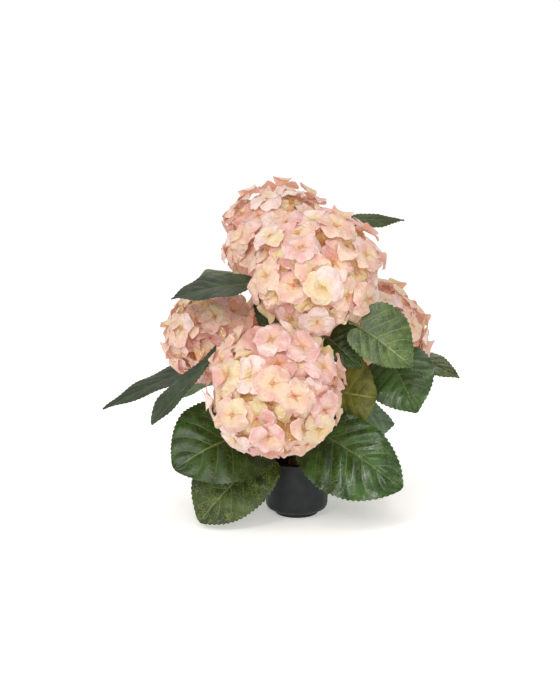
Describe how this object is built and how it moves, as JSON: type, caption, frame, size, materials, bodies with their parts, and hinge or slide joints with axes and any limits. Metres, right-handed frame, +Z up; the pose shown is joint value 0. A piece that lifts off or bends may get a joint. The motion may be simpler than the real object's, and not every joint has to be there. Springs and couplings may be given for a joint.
{
  "type": "artificial potted hydrangea",
  "caption": "Artificial mophead hydrangea in a small round pot: globe-shaped heads of fabric florets over broad serrated leaves; stands on a table or shelf as decoration.",
  "frame": {"origin": "middle of the pot's flat underside, on the surface that it stands on", "axes": "+Z up along the pot's axis; -Y towards the front, where the lowest and fullest flower head leans out; +X to the right seen from the front"},
  "size_m": [0.48, 0.4089, 0.4344],
  "materials": {
    "pot": "smooth, slightly bluish black, dull sheen",
    "fill": "rough, very dark brown",
    "stem": "dull green",
    "leaf": "waxed printed cloth, half-gloss dark green with paler veins",
    "bloom": "matt dyed cloth, blush pink to cream"
  },
  "bodies": {
    "root": {"pot": "pot", "pot_fill": "fill", "main_stem": "stem", "stem_front": "stem", "stem_upper": "stem", "stem_crown": "stem", "stem_left": "stem", "stem_right": "stem", "stem_back": "stem", "bloom_front": "bloom", "bloom_upper": "bloom", "bloom_crown": "bloom", "bloom_left": "bloom", "bloom_right": "bloom", "bloom_back": "bloom", "leaf_low_front_left": "leaf", "leaf_lowest_front_left": "leaf", "leaf_low_front_right": "leaf", "leaf_low_right": "leaf", "leaf_middle_right": "leaf", "leaf_upper_right": "leaf", "leaf_inner_right": "leaf", "leaf_outer_right": "leaf", "leaf_far_right": "leaf", "leaf_high_right": "leaf", "leaf_high_left": "leaf", "leaf_far_left": "leaf", "leaf_middle_left": "leaf", "leaf_inner_left": "leaf", "leaf_low_back_left": "leaf", "leaf_low_back_right": "leaf", "leaf_lowest_back": "leaf", "leaf_middle_back_left": "leaf", "leaf_middle_back_right": "leaf", "leaf_high_back": "leaf", "leaf_low_left": "leaf", "leaf_low_side_right": "leaf", "leaf_upper_back_right": "leaf"}
  },
  "joints": []
}
